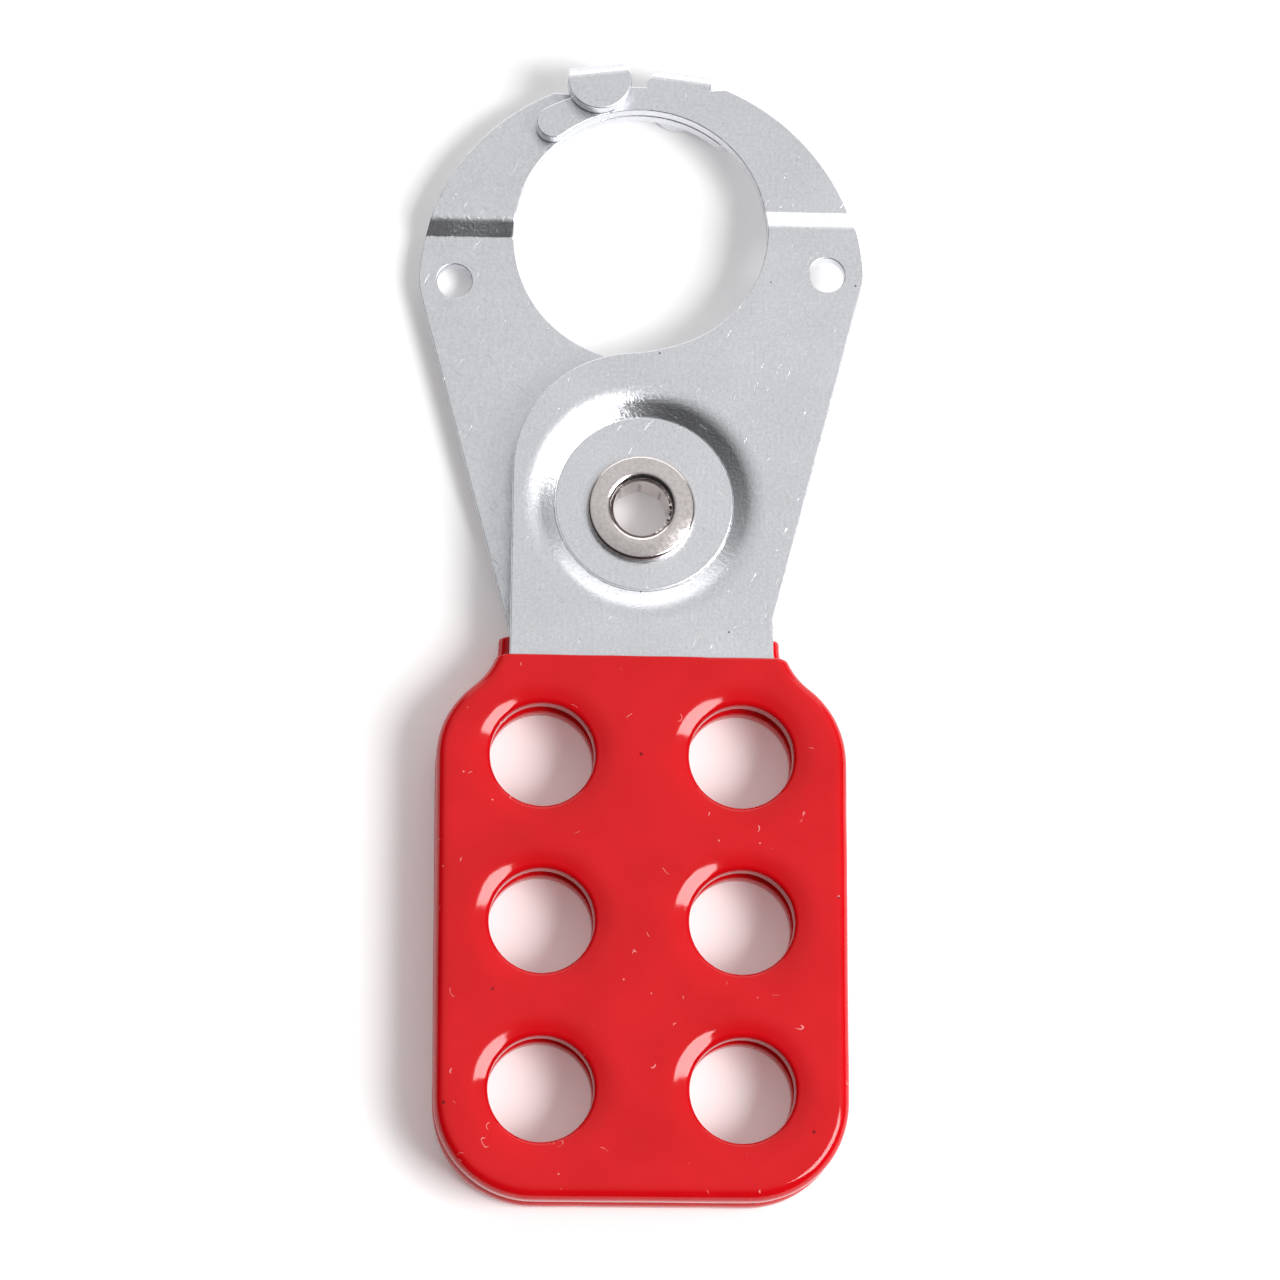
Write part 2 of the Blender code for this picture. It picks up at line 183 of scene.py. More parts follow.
HAUNCH = (HAUNCH_X, HAUNCH_TOP_Y - HAUNCH_RISE)
LOCK_COLUMN = HANDLE_HALF - LOCK_EDGE
LOCK_TOP_Y = HAUNCH[1] + LOCK_RISE
LOCK_HOLES = [
    (side * LOCK_COLUMN, LOCK_TOP_Y - row * LOCK_PITCH)
    for side in (-1, 1)
    for row in range(LOCK_ROWS)
]
LOCK_APERTURE_R = LOCK_HOLE_R - LOCK_LINING
HANDLE_LENGTH = (LOCK_ROWS - 1) * LOCK_PITCH + LOCK_END - LOCK_TOP_Y
JAW_LOW = JAW_GAP / 2
JAW_TOP = JAW_LOW + SHEET
NECK_LOW = JAW_LOW + STEP
NECK_TOP = NECK_LOW + SHEET
COAT_LOW = NECK_LOW - COAT
COAT_TOP = NECK_TOP + COAT
PIVOT = Vector(frame["joints"][0]["pos_m"])

# Camera
CAMERA_TILT = 13            # degrees off the plates' normal, towards the handle
CAMERA_SIDE = 3.5           # and to the left
CAMERA_DISTANCE = 0.52
CAMERA_LENS = 147.5
CAMERA_AIM = (0, -0.0017, 0.004)

# Lights: place, width and height in metres, power in watts
KEY_LIGHT = ((0.46, -0.20, 0.60), 0.38, 0.38, 6.2)
BACK_LIGHT = ((0.06, 0.72, 0.22), 1.3, 0.44, 1.9)
SKY_BRIGHTEST = (0.10, 0.50, 0.86)      # the surroundings that the metal mirrors
SKY_SPREAD = (0.30, 0.97)               # from dark to bright, as cosines from that way
SKY_STRENGTH = (0.02, 0.70)
SKY_SEEN = 0.9                          # what the camera sees past the floor

BEYOND = 0.004              # how far cutters run past what they cut
OVERLAP = 0.00001           # how far joined solids run into each other
WELD = 0.000001
TINY = 0.00002              # edges shorter than this are cleared away after a cut
ARC_STEP = 3                # degrees between points on drawn arcs
ROUND_SIDES = 96            # sides of round cutters and turned shapes
HOLE_SIDES = 48             # sides of the smaller holes
CUTTER_SIDES = 64
EYELET_SIDES = 144
FLAT = math.radians(0.5)    # faces that meet at less are one face
CREASED = math.radians(40)  # edges that turn by more are edges of the blank
SOFT = 35                   # and degrees up to which vinyl and nickel shade as one surface
SIDEWAYS = Matrix(((0, 0, 1, 0), (1, 0, 0, 0), (0, 1, 0, 0), (0, 0, 0, 1)))
UPRIGHT = Matrix.Rotation(math.pi / 2, 4, "X")


# ---------------------------------------------------------------- modelling


def fresh():
    """Leaves edit mode and deselects everything, so that the next step touches one piece only."""
    if bpy.context.object and bpy.context.object.mode == "EDIT":
        bpy.ops.object.mode_set(mode="OBJECT")
    bpy.ops.object.select_all(action="DESELECT")


def activate(piece):
    """Selects one piece alone and makes it active."""
    fresh()
    piece.select_set(True)
    bpy.context.view_layer.objects.active = piece
    return piece


def edit(piece):
    """Opens one piece in edit mode with nothing in it selected."""
    activate(piece)
    bpy.ops.object.mode_set(mode="EDIT")
    bpy.ops.mesh.select_mode(type="VERT")
    bpy.ops.mesh.select_all(action="DESELECT")


def pick_faces(piece, test):
    """Selects the faces whose middle and normal pass the test."""
    bpy.ops.mesh.select_mode(type="FACE")
    work = bmesh.from_edit_mesh(piece.data)
    for face in work.faces:
        face.select_set(test(face.calc_center_median(), face.normal))
    bmesh.update_edit_mesh(piece.data)


def on_circle(centre, radius, degrees):
    """The point at an angle on a circle."""
    turn = math.radians(degrees)
    return Vector((centre[0] + radius * math.cos(turn), centre[1] + radius * math.sin(turn), 0))


def draw(name, arcs, closed=True, step=ARC_STEP):
    """Draws an outline as arcs (centre, radius, start, end) joined by straight lines."""
    fresh()
    bpy.ops.mesh.primitive_plane_add(size=SHEET)
    piece = bpy.context.object
    piece.name = name
    bpy.ops.object.mode_set(mode="EDIT")
    bpy.ops.mesh.select_mode(type="VERT")
    bpy.ops.mesh.merge(type="CENTER")
    pen = on_circle(*arcs[0][:3])
    bpy.ops.transform.translate(value=pen)
    for centre, radius, start, end in arcs:
        target = on_circle(centre, radius, start)
        if (target - pen).length > WELD:
            bpy.ops.mesh.extrude_region_move(TRANSFORM_OT_translate={"value": target - pen})
        if end != start:
            bpy.ops.mesh.spin(
                steps=max(2, math.ceil(abs(end - start) / step)),
                angle=-math.radians(end - start),
                center=(*centre, 0),
                axis=(0, 0, 1),
            )
        pen = on_circle(centre, radius, end)
    bpy.ops.mesh.select_all(action="SELECT")
    bpy.ops.mesh.remove_doubles(threshold=WELD)
    if closed:
        bpy.ops.mesh.edge_face_add()
    return piece


def corner(x, y):
    """A sharp corner of a drawn outline."""
    return ((x, y), 0, 0, 0)


def mirrored(arcs):
    """The same stretch of outline on the other side of the Y axis, in reverse order."""
    return [((-x, y), r, 180 - end, 180 - start) for (x, y), r, start, end in reversed(arcs)]


def prism(name, arcs, low, high, step=ARC_STEP):
    """An upright solid between two heights, from a drawn outline."""
    piece = draw(name, arcs, step=step)
    bpy.ops.transform.translate(value=(0, 0, low))
    bpy.ops.mesh.extrude_region_move(TRANSFORM_OT_translate={"value": (0, 0, high - low)})
    bpy.ops.mesh.select_all(action="SELECT")
    bpy.ops.mesh.normals_make_consistent(inside=False)
    bpy.ops.object.mode_set(mode="OBJECT")
    return piece


def turned(name, arcs, centre=(0, 0), sides=ROUND_SIDES, closed=True, step=12):
    """A turned shape: a profile of radius and height, spun once about an upright axis."""
    piece = draw(name, arcs, closed=closed, step=step)
    if closed:
        bpy.ops.mesh.delete(type="ONLY_FACE")
    bpy.ops.object.mode_set(mode="OBJECT")
    piece.data.transform(Matrix.Translation((*centre, 0)) @ UPRIGHT)
    edit(piece)
    bpy.ops.mesh.select_all(action="SELECT")
    bpy.ops.mesh.spin(steps=sides, angle=math.tau, center=(*centre, 0), axis=(0, 0, 1))
    bpy.ops.mesh.select_all(action="SELECT")
    bpy.ops.mesh.remove_doubles(threshold=WELD)
    bpy.ops.mesh.normals_make_consistent(inside=False)
    bpy.ops.object.mode_set(mode="OBJECT")
    return piece


def rod(name, centre, radius, low, high, sides=ROUND_SIDES):
    """An upright round cutter."""
    fresh()
    middle = (centre[0], centre[1], (low + high) / 2)
    bpy.ops.mesh.primitive_cylinder_add(
        vertices=sides, radius=radius, depth=high - low, location=middle
    )
    piece = bpy.context.object
    piece.name = name
    bpy.ops.object.transform_apply(location=True, rotation=True, scale=True)
    return piece


def apply_modifier(piece, kind, **settings):
    """Adds a modifier, sets it and applies it."""
    activate(piece)
    step = piece.modifiers.new(kind.lower(), kind)
    for key, value in settings.items():
        setattr(step, key, value)
    bpy.ops.object.modifier_apply(modifier=step.name)


def combine(piece, tool, operation):
    """Cuts, joins or intersects a piece with a tool, and takes the tool away."""
    apply_modifier(piece, "BOOLEAN", operation=operation, object=tool, solver="MANIFOLD")
    bpy.data.objects.remove(tool)
    return piece


def merge_pieces(target, others):
    """Joins other meshes into one object without cutting them."""
    activate(target)
    for other in others:
        other.select_set(True)
    bpy.ops.object.join()
    return target


def duplicate(piece, name):
    """A copy with a mesh of its own."""
    activate(piece)
    bpy.ops.object.duplicate()
    twin = bpy.context.object
    twin.name = name
    return twin


# ---------------------------------------------------------------- plates


def handle_side(grow, hollow_r):
    """Right side of the handle, from the bottom corner up over the haunch to the neck."""
    low_corner = (HANDLE_HALF - CORNER_R, CORNER_R - HANDLE_LENGTH)
    round_r = HAUNCH_R + grow
    across = NECK_HALF + grow + hollow_r - HAUNCH[0]
    up = math.sqrt((round_r + hollow_r) ** 2 - across**2)
    meet = math.degrees(math.atan2(up, across))
    hollow = (HAUNCH[0] + across, HAUNCH[1] + up)
    return [
        (low_corner, CORNER_R + grow, -90, 0),
        (HAUNCH, round_r, 0, meet),
        (hollow, hollow_r, 180 + meet, 180),
    ]


def hook_corner(radius, beside):
    """Where a circle about the jaw's centre passes this far right of the hook's right side."""
    return math.degrees(math.acos((HOOK_RIGHT + beside) / radius))


def long_side():
    """Up the slanted right side from the neck, and round the jaw as far as the hook."""
    line_r = JAW_R - SIDE_INSET
    rise = JAW_Y - SIDE_START_Y
    start_r = math.hypot(NECK_HALF, rise)
    tilt = math.degrees(math.atan2(rise, NECK_HALF) - math.acos(line_r / start_r))
    inner_r = JAW_R - SIDE_FILLET
    turn = math.degrees(math.acos((line_r - SIDE_FILLET) / inner_r)) - tilt
    fillet = on_circle((0, JAW_Y), inner_r, turn)
    return [
        corner(NECK_HALF, SIDE_START_Y),
        ((fillet.x, fillet.y), SIDE_FILLET, -tilt, turn),
        ((0, JAW_Y), JAW_R, turn, hook_corner(JAW_R, EASE)),
        corner(HOOK_RIGHT - HOOK_LAP, HOOK_FACE_Y - EASE_DEPTH),
    ]


def tongue():
    """Under the hook, along the tongue and round its end to the bore."""
    lean = math.radians(TONGUE_END)
    drop = BORE_Y - JAW_Y
    spare = TONGUE_R**2 - drop**2 - BORE_R**2 - 2 * drop * BORE_R * math.cos(lean)
    end_r = spare / (2 * (drop * math.cos(lean) + BORE_R + TONGUE_R))
    end = on_circle((0, BORE_Y), BORE_R + end_r, 90 + TONGUE_END)
    outward = math.degrees(math.atan2(end.y - JAW_Y, end.x))
    return [
        ((0, JAW_Y), TONGUE_R, hook_corner(TONGUE_R, -HOOK_LAP), outward),
        ((end.x, end.y), end_r, outward, 270 + TONGUE_END),
    ]


def crossing():
    """The S from the bore to the shoulder: two arcs that run on smoothly from both."""
    leaves = on_circle((0, BORE_Y), BORE_R, BORE_LEAVES)
    joins = on_circle(SHOULDER, SHOULDER_R, SHOULDER_SPAN[0])
    first = on_circle((0, 0), 1, CROSSING_TURN) - on_circle((0, 0), 1, BORE_LEAVES)
    second = on_circle((0, 0), 1, SHOULDER_SPAN[0]) - on_circle((0, 0), 1, CROSSING_TURN + 180)
    span = joins - leaves
    whole = first.x * second.y - first.y * second.x
    first_r = (span.x * second.y - span.y * second.x) / whole
    second_r = (first.x * span.y - first.y * span.x) / whole
    high = on_circle((leaves.x, leaves.y), -first_r, BORE_LEAVES)
    low = on_circle((joins.x, joins.y), -second_r, SHOULDER_SPAN[0])
    return [
        ((high.x, high.y), first_r, BORE_LEAVES, CROSSING_TURN),
        ((low.x, low.y), second_r, CROSSING_TURN + 180, SHOULDER_SPAN[0]),
    ]


def plate_outline():
    """The whole stamping seen from above, counter-clockwise from the bottom right corner."""
    right = handle_side(0, HAUNCH_HOLLOW_R)
    bore = ((0, BORE_Y), BORE_R, 90 + TONGUE_END, BORE_LEAVES)
    shoulder = (SHOULDER, SHOULDER_R, *SHOULDER_SPAN)
    return right + long_side() + tongue() + [bore] + crossing() + [shoulder] + mirrored(right)


def stepped_profile(upper, lower, slope, upper_r, foot_r, far, direction=1):
    """A sheet's section stepping down from neck to jaw height, with a soft and a sharp bend.

    upper and lower are where the slope would meet the two levels. The section runs from the
    neck's side to far on top, and is returned as its top arcs and its underside arcs.
    """
    half = math.tan(math.radians(slope) / 2)
    soft = (upper - direction * upper_r * half, NECK_TOP - upper_r)
    sharp = (lower + direction * foot_r * half, JAW_TOP + foot_r)
    turn = direction * slope
    top = [
        (soft, upper_r, 90, 90 - turn),
        (sharp, foot_r, 270 - turn, 270),
        corner(far, JAW_TOP),
    ]
    under = [
        corner(far, JAW_LOW),
        (sharp, foot_r + SHEET, 270, 270 - turn),
        (soft, upper_r - SHEET, 90 - turn, 90),
    ]
    return top, under


def bent_sheet():
    """The sheet with its joggle, wider than any plate cut from it."""
    run = STEP / math.tan(math.radians(STEP_ANGLE))
    near = -HANDLE_LENGTH - BEYOND
    far = JAW_Y + JAW_R + BEYOND
    top, under = stepped_profile(JOGGLE_Y - run, JOGGLE_Y, STEP_ANGLE, BEND_R, FOOT_R, far)
    arcs = [corner(near, NECK_TOP)] + top + under + [corner(near, NECK_LOW)]
    half = JAW_R + BEYOND
    sheet = prism("bent_sheet", arcs, -half, half, step=4)
    sheet.data.transform(SIDEWAYS)
    return sheet


def boss_disc():
    """The dished boss as a loose disc, top and underside, with its rims left open."""
    slope = math.degrees(math.atan2(STEP, BOSS_SLOPE))
    top, under = stepped_profile(
        BOSS_FLOOR_R + BOSS_SLOPE, BOSS_FLOOR_R, slope, BOSS_BEND_R, BOSS_FOOT_R, 0, -1
    )
    crease = [
        corner(BOSS_FLOOR_R - CREASE, JAW_TOP - CREASE),
        corner(BOSS_FLOOR_R - 3 * CREASE, JAW_TOP),
    ]
    top = [corner(BOSS_RIM_R, NECK_TOP)] + top[:2] + crease + top[2:]
    skins = [
        turned("boss_top", top, BOSS, closed=False, step=3),
        turned("boss_under", under + [corner(BOSS_RIM_R, NECK_LOW)], BOSS, closed=False, step=3),
    ]
    return skins


def let_in_boss(plate):
    """Opens the neck with a round hole and welds the boss into it."""
    combine(plate, rod("boss_seat", BOSS, BOSS_RIM_R, -BEYOND, BEYOND), "DIFFERENCE")
    edit(plate)
    centre = Vector((*BOSS, 0))
    pick_faces(
        plate,
        lambda middle, normal: abs(normal.z) < 0.5
        and (middle.xy - centre.xy).length < BOSS_RIM_R + WELD,
    )
    bpy.ops.mesh.delete(type="FACE")
    merge_pieces(plate, boss_disc())
    edit(plate)
    bpy.ops.mesh.select_all(action="SELECT")
    bpy.ops.mesh.remove_doubles(threshold=OVERLAP)
    bpy.ops.mesh.normals_make_consistent(inside=False)
    bpy.ops.object.mode_set(mode="OBJECT")


def hook():
    """The hook: out from the jaw, down past the other arm's tongue and back under it."""
    bend = SHEET + HOOK_BEND_R
    top = JAW_TOP
    flap_top = -JAW_TOP - HOOK_CLEAR
    flap_low = flap_top - SHEET
    upper = (-bend, top - bend)
    lower = (-bend, flap_low + bend)
    profile = [
        corner(-HOOK_ROOT, top),
        (upper, bend, 90, 0),
        (lower, bend, 0, -90),
        corner(-HOOK_REACH - BEYOND, flap_low),
        corner(-HOOK_REACH - BEYOND, flap_top),
        (lower, HOOK_BEND_R, -90, 0),
        (upper, HOOK_BEND_R, 0, 90),
        corner(-HOOK_ROOT, JAW_LOW),
    ]
    place = Matrix.Translation((HOOK_MID, HOOK_FACE_Y, 0))
    place = place @ Matrix.Rotation(math.radians(HOOK_LEAN), 4, "Z")
    strip = prism("hook", profile, -FLAP_HALF - BEYOND, FLAP_HALF + BEYOND, step=9)
    strip.data.transform(SIDEWAYS)

    flap_end = (0, FLAP_HALF - HOOK_REACH)
    flap = [
        corner(FLAP_TOP_HALF, BEYOND),
        corner(-FLAP_TOP_HALF, BEYOND),
        corner(-FLAP_TOP_HALF, -HOOK_BEND_R),
        (flap_end, FLAP_HALF, 180, 360),
        corner(FLAP_TOP_HALF, -HOOK_BEND_R),
    ]
    tab = [
        corner(FLAP_TOP_HALF, BEYOND),
        corner(-FLAP_TOP_HALF, BEYOND),
        corner(-FLAP_TOP_HALF, -HOOK_BEND_R),
        corner(-FLAP_TOP_HALF - TAB_SPREAD, -bend),
        corner(-FLAP_TOP_HALF - TAB_SPREAD, -HOOK_ROOT),
        corner(FLAP_TOP_HALF, -HOOK_ROOT),
        corner(FLAP_TOP_HALF, -HOOK_BEND_R),
    ]
    middle = (JAW_TOP + flap_low) / 2
    trim = prism("flap_trim", flap, flap_low - BEYOND, middle)
    combine(trim, prism("tab_trim", tab, middle - OVERLAP, JAW_TOP + BEYOND), "UNION")
    combine(strip, trim, "INTERSECT")
    strip.data.transform(place)
    return strip


def build_plate():
    """The stamping, in its arm's frame."""
    plate = prism("front_plate_steel", plate_outline(), JAW_LOW - BEYOND, NECK_TOP + BEYOND)
    combine(plate, bent_sheet(), "INTERSECT")
    let_in_boss(plate)
    holes = [rod("rivet_hole", (0, 0), RIVET_HOLE_R, -BEYOND, BEYOND)]
    holes.append(rod("tag_hole", TAG_HOLE, TAG_HOLE_R, -BEYOND, BEYOND, HOLE_SIDES))
    holes += [
        rod("lock_hole", spot, LOCK_HOLE_R, -BEYOND, BEYOND, HOLE_SIDES) for spot in LOCK_HOLES
    ]
    combine(plate, merge_pieces(holes[0], holes[1:]), "DIFFERENCE")
    combine(plate, hook(), "UNION")
    edit(plate)
    bpy.ops.mesh.select_all(action="SELECT")
    bpy.ops.mesh.remove_doubles(threshold=TINY)
    bpy.ops.mesh.dissolve_limited(angle_limit=FLAT)
    bpy.ops.mesh.dissolve_degenerate(threshold=TINY)
    bpy.ops.object.mode_set(mode="OBJECT")
    apply_modifier(
        plate,
        "BEVEL",
        width=EDGE_BREAK,
        segments=3,
        limit_method="ANGLE",
        angle_limit=CREASED,
        use_clamp_overlap=False,
        harden_normals=True,
    )
    return plate


# ---------------------------------------------------------------- grips


def hole_cutter(spot):
    """Cuts a padlock hole whose coat draws down towards it and turns in over a tight lip."""
    lip_at = LOCK_APERTURE_R + LIP_R
    lip_top = COAT_TOP - SINK
    reach = SINK_WIDTH
    rise_r = (reach**2 + SINK**2) / (2 * SINK)
    lean = math.degrees(math.asin(reach / rise_r))
    upper = [
        ((lip_at, lip_top - LIP_R), LIP_R, 180, 90),
        ((lip_at + reach, COAT_TOP - rise_r), rise_r, 90 + lean, 90),
    ]
    mid = (COAT_TOP + COAT_LOW) / 2
    lower = [((x, 2 * mid - y), r, -start, -end) for (x, y), r, start, end in upper]
    far = lip_at + reach + 5 * OVERLAP
    top_y = COAT_TOP + BEYOND
    arcs = (
        [corner(0, 2 * mid - top_y), corner(far, 2 * mid - top_y)]
        + [((x, y), r, end, start) for (x, y), r, start, end in reversed(lower)]
        + upper
        + [corner(far, top_y), corner(0, top_y)]
    )
    return turned("hole_cutter", arcs, spot, sides=CUTTER_SIDES, closed=False, step=6)


def build_grip(name, dip_y, seed):
    """A dipped grip in its arm's frame."""
    side = handle_side(COAT, COAT_HOLLOW_R) + [corner(NECK_HALF + COAT, dip_y + BEYOND)]
    grip = prism(name, side + mirrored(side), COAT_LOW, COAT_TOP)
    apply_modifier(
        grip,
        "BEVEL",
        width=EDGE_ROUND,
        segments=6,
        limit_method="ANGLE",
        angle_limit=math.radians(50),
    )
    edit(grip)
    bpy.ops.mesh.select_all(action="SELECT")
    bpy.ops.mesh.bisect(
        plane_co=(0, dip_y, 0), plane_no=(0, 1, 0), clear_outer=True, use_fill=True
    )
    bpy.ops.object.mode_set(mode="OBJECT")
    for spot in LOCK_HOLES:
        combine(grip, hole_cutter(spot), "DIFFERENCE")
    apply_modifier(grip, "REMESH", mode="VOXEL", voxel_size=VINYL_CELL, use_smooth_shade=True)
    apply_modifier(grip, "SMOOTH", factor=0.5, iterations=6)
    ripple(grip, seed)

    top_y = dip_y + BEYOND
    inner = handle_side(VINYL_FIT, HAUNCH_HOLLOW_R - VINYL_FIT)
    inner.append(corner(NECK_HALF + VINYL_FIT, top_y))
    low = NECK_LOW - VINYL_FIT
    high = NECK_TOP + VINYL_FIT
    hollow = prism(name + "_hollow", inner + mirrored(inner), low, high)
    posts = [
        rod("post", spot, LOCK_HOLE_R - VINYL_FIT, low - BEYOND, high + BEYOND, HOLE_SIDES)
        for spot in LOCK_HOLES
    ]
    combine(hollow, merge_pieces(posts[0], posts[1:]), "DIFFERENCE")
    combine(grip, hollow, "DIFFERENCE")
    return grip


def ripple(grip, seed):
    """Gives the dipped coat the slight waviness that it sets with, never growing it."""
    offset = Vector((seed, seed, seed))
    outwards = [point.normal.copy() for point in grip.data.vertices]
    for point, outward in zip(grip.data.vertices, outwards):
        wave = noise.noise(point.co * RIPPLE_LONG + offset)
        wave += RIPPLE_SHORT_SHARE * noise.noise(point.co * RIPPLE_SHORT + offset)
        point.co += outward * (wave - 1) * RIPPLE
    grip.data.update()


# ---------------------------------------------------------------- eyelet


def rolled_end(crown_z, rim_z):
    """Half of the eyelet's section: from its bore over the crown and down to the flange's rim."""
    crown = (CROWN_R, crown_z - CROWN_ROUND)
    rim = (FLANGE_R - RIM_ROUND, rim_z + RIM_ROUND)
    reach = math.dist(crown, rim)
    fall = math.atan2(crown[1] - rim[1], rim[0] - crown[0])
    lean = 90 - math.degrees(math.asin((CROWN_ROUND - RIM_ROUND) / reach) + fall)
    dip = crown_z - THROAT_DROP
    inner = CROWN_R - THROAT_R
    inner_r = (inner**2 + THROAT_DROP**2) / (2 * THROAT_DROP)
    inner_lean = math.degrees(math.asin(inner / inner_r))
    return [
        corner(LINER_R, dip - THROAT_STEP),
        corner(THROAT_R, dip - THROAT_STEP / 2),
        ((CROWN_R, crown_z - inner_r), inner_r, 90 + inner_lean, 90),
        (crown, CROWN_ROUND, 90, lean),
        (rim, RIM_ROUND, lean, -90),
        corner(BARREL_R, rim_z),
    ]


def split_back(eyelet, root_z):
    """Splits the clinched back end into petals with wedges from the bore outwards."""
    for petal in range(PETALS):
        turn = Matrix.Rotation(math.tau * (petal + 0.5) / PETALS, 4, "Z")
        wedge = [
            corner(0, -SPLIT_HALF),
            corner(CROWN_R, -SPLIT_HALF),
            corner(FLANGE_R + BEYOND, -SPLIT_FLARE),
            corner(FLANGE_R + BEYOND, SPLIT_FLARE),
            corner(CROWN_R, SPLIT_HALF),
            corner(0, SPLIT_HALF),
        ]
        tool = prism("split", wedge, root_z - BEYOND, root_z)
        tool.data.transform(turn)
        combine(eyelet, tool, "DIFFERENCE")


def tear_liner(eyelet, seed):
    """Ragged lip at the liner's front, and the petals' flat-sided opening at its back."""
    facet = math.tau / PETALS
    start, end = (math.radians(limit) for limit in LINER_TORN)
    middle = (start + end) / 2
    half = (end - start) / 2
    for point in eyelet.data.vertices:
        across = math.hypot(point.co.x, point.co.y)
        if across > LINER_R + TINY:
            continue
        angle = math.atan2(point.co.y, point.co.x)
        if point.co.z > 0:
            inside = max(0, 1 - abs(angle - middle) / half) ** TEAR_FADE
            spot = Vector((math.cos(angle), math.sin(angle), seed))
            rag = noise.noise(spot * TEAR_COARSE)
            rag += TEAR_FINE_SHARE * noise.noise(spot * TEAR_FINE)
            point.co.z += LINER_TEAR * inside * (TEAR_BIAS + rag) * TEAR_CURL
            across -= max(TEAR_SPAN[0], min(TEAR_SPAN[1], rag)) * LINER_TEAR * inside
        else:
            off = (angle % facet) - facet / 2
            across *= math.cos(facet / 2) / math.cos(off) * PETAL_FIT
        point.co.x = across * math.cos(angle)
        point.co.y = across * math.sin(angle)
    eyelet.data.update()


def build_eyelet():
    """The tubular rivet, with its rolled front flange and its clinched back."""
    seat = JAW_TOP + FLANGE_SEAT - FLANGE_DOWN
    crown_z = JAW_TOP + FLANGE_SEAT + FLANGE_HEIGHT
    front = rolled_end(crown_z, seat)
    back = [((x, -y), r, -start, -end) for (x, y), r, start, end in front]
    back = [(centre, r, end, start) for centre, r, start, end in reversed(back)]
    eyelet = turned("pivot_eyelet_metal", front + back, sides=EYELET_SIDES, step=10)
    tear_liner(eyelet, 2.6)
    split_back(eyelet, -seat)
    return eyelet


# ---------------------------------------------------------------- materials


def linear(hex_colour):
    """An sRGB hex colour as the linear colour that shaders take."""
    parts = [int(hex_colour[i : i + 2], 16) / 255 for i in (0, 2, 4)]
    return (*[c / 12.92 if c <= 0.04045 else ((c + 0.055) / 1.055) ** 2.4 for c in parts], 1)


def per_mm(size):
    """The texture scale whose pattern repeats about every size millimetres."""
    return 1000 / size


def add(tree, kind, inputs=None, **settings):
    """Adds a node, sets its properties, and sets or links its inputs."""
    node = tree.nodes.new("ShaderNode" + kind)
    for key, value in settings.items():
        setattr(node, key, value)
    for key, value in (inputs or {}).items():
        if isinstance(value, bpy.types.NodeSocket):
            tree.links.new(value, node.inputs[key])
        else:
            node.inputs[key].default_value = value
    return node


def material(name):
    """A new material's tree, its main shader and its object coordinates."""
    made = bpy.data.materials.new(name)
    made.use_nodes = True
    tree = made.node_tree
    shader = tree.nodes["Principled BSDF"]
    place = add(tree, "TexCoord").outputs["Object"]
    return made, tree, shader, place


